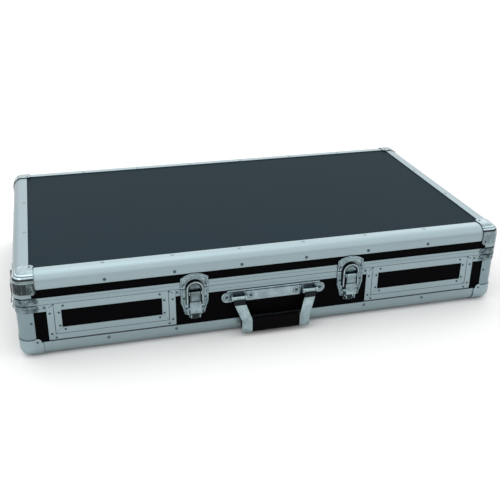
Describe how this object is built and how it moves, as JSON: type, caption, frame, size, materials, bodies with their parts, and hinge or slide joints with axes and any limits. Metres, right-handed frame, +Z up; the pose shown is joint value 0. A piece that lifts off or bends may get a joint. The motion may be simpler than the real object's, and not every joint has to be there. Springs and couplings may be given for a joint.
{
  "type": "dj mixer case",
  "caption": "Shallow aluminium-edged flight case with a hinged lid, draw latches, a drop handle and two lift-out front access panels.",
  "frame": {"origin": "on the floor plane under the middle of the whole object's box", "axes": "+X along the long front, +Y from the front to the hinged rear, +Z up"},
  "size_m": [0.741, 0.4284, 0.129],
  "materials": {
    "laminate": "black laminated ply",
    "top_laminate": "black laminated ply, satin",
    "profile": "satin anodised extrusion",
    "corner_alloy": "pressed, satin",
    "chrome": "bright plated steel",
    "rivets": "domed rivet heads",
    "pins": "plain steel",
    "grip": "moulded black grip",
    "foam": "dark open-cell foam"
  },
  "bodies": {
    "base": {"base_bottom_corners": "corner_alloy", "base_bottom_panel": "laminate", "base_corner_braces": "chrome", "base_corner_posts": "profile", "base_foam": "foam", "base_front_edge": "profile", "base_front_rim": "profile", "base_front_wall": "laminate", "base_left_edge": "profile", "base_left_rim": "profile", "base_left_wall": "laminate", "base_rear_edge": "profile", "base_rear_rim": "profile", "base_rear_wall": "laminate", "base_right_edge": "profile", "base_right_rim": "profile", "base_right_wall": "laminate", "base_rivets": "rivets", "handle_plate": "chrome", "hinge_base_leaves": "chrome", "hinge_pins": "pins", "latch_plates": "chrome", "left_access_board": "laminate", "left_access_frame": "profile", "left_access_surround": "profile", "right_access_board": "laminate", "right_access_frame": "profile", "right_access_surround": "profile"},
    "lid": {"hinge_lid_leaves": "chrome", "latch_keepers": "chrome", "lid_ball_corners": "chrome", "lid_corner_braces": "chrome", "lid_foam": "foam", "lid_front_edge": "profile", "lid_front_rim": "profile", "lid_front_wall": "laminate", "lid_left_edge": "profile", "lid_left_rim": "profile", "lid_left_wall": "laminate", "lid_rear_edge": "profile", "lid_rear_rim": "profile", "lid_rear_wall": "laminate", "lid_right_edge": "profile", "lid_right_rim": "profile", "lid_right_wall": "laminate", "lid_rivets": "rivets", "lid_top_panel": "top_laminate"},
    "handle": {"handle_arms": "chrome", "handle_grip": "grip"},
    "front_left_lever": {"front_left_latch_lever": "chrome"},
    "front_left_loop": {"front_left_latch_loop": "chrome"},
    "front_right_lever": {"front_right_latch_lever": "chrome"},
    "front_right_loop": {"front_right_latch_loop": "chrome"},
    "left_side_lever": {"left_side_latch_lever": "chrome"},
    "left_side_loop": {"left_side_latch_loop": "chrome"},
    "right_side_lever": {"right_side_latch_lever": "chrome"},
    "right_side_loop": {"right_side_latch_loop": "chrome"}
  },
  "joints": [
    {"name": "lid_hinge", "type": "hinge", "parent": "base", "child": "lid", "pos_m": [0, 0.2111, 0.0815], "axis": [-1, 0, 0], "range_deg": [0, 100]},
    {"name": "handle_swing", "type": "hinge", "parent": "base", "child": "handle", "pos_m": [0, -0.203, 0.0595], "axis": [-1, 0, 0], "range_deg": [0, 110]},
    {"name": "front_left_lever_flip", "type": "hinge", "parent": "base", "child": "front_left_lever", "pos_m": [-0.117, -0.2025, 0.0755], "axis": [-1, 0, 0], "range_deg": [0, 140]},
    {"name": "front_left_loop_turn", "type": "hinge", "parent": "front_left_lever", "child": "front_left_loop", "pos_m": [-0.117, -0.2017, 0.0585], "axis": [-1, 0, 0], "range_deg": [-119, 0]},
    {"name": "front_right_lever_flip", "type": "hinge", "parent": "base", "child": "front_right_lever", "pos_m": [0.117, -0.2025, 0.0755], "axis": [-1, 0, 0], "range_deg": [0, 140]},
    {"name": "front_right_loop_turn", "type": "hinge", "parent": "front_right_lever", "child": "front_right_loop", "pos_m": [0.117, -0.2017, 0.0585], "axis": [-1, 0, 0], "range_deg": [-119, 0]},
    {"name": "left_side_lever_flip", "type": "hinge", "parent": "base", "child": "left_side_lever", "pos_m": [-0.3653, -0.1072, 0.0755], "axis": [0, 1, 0], "range_deg": [0, 140]},
    {"name": "left_side_loop_turn", "type": "hinge", "parent": "left_side_lever", "child": "left_side_loop", "pos_m": [-0.3645, -0.1072, 0.0585], "axis": [0, 1, 0], "range_deg": [-119, 0]},
    {"name": "right_side_lever_flip", "type": "hinge", "parent": "base", "child": "right_side_lever", "pos_m": [0.3653, -0.1072, 0.0755], "axis": [0, -1, 0], "range_deg": [0, 140]},
    {"name": "right_side_loop_turn", "type": "hinge", "parent": "right_side_lever", "child": "right_side_loop", "pos_m": [0.3645, -0.1072, 0.0585], "axis": [0, -1, 0], "range_deg": [-119, 0]}
  ],
  "couplings": [
    {"joint": "front_left_loop_turn", "follows": "front_left_lever_flip", "ratio": -0.85},
    {"joint": "front_right_loop_turn", "follows": "front_right_lever_flip", "ratio": -0.85},
    {"joint": "left_side_loop_turn", "follows": "left_side_lever_flip", "ratio": -0.85},
    {"joint": "right_side_loop_turn", "follows": "right_side_lever_flip", "ratio": -0.85}
  ]
}
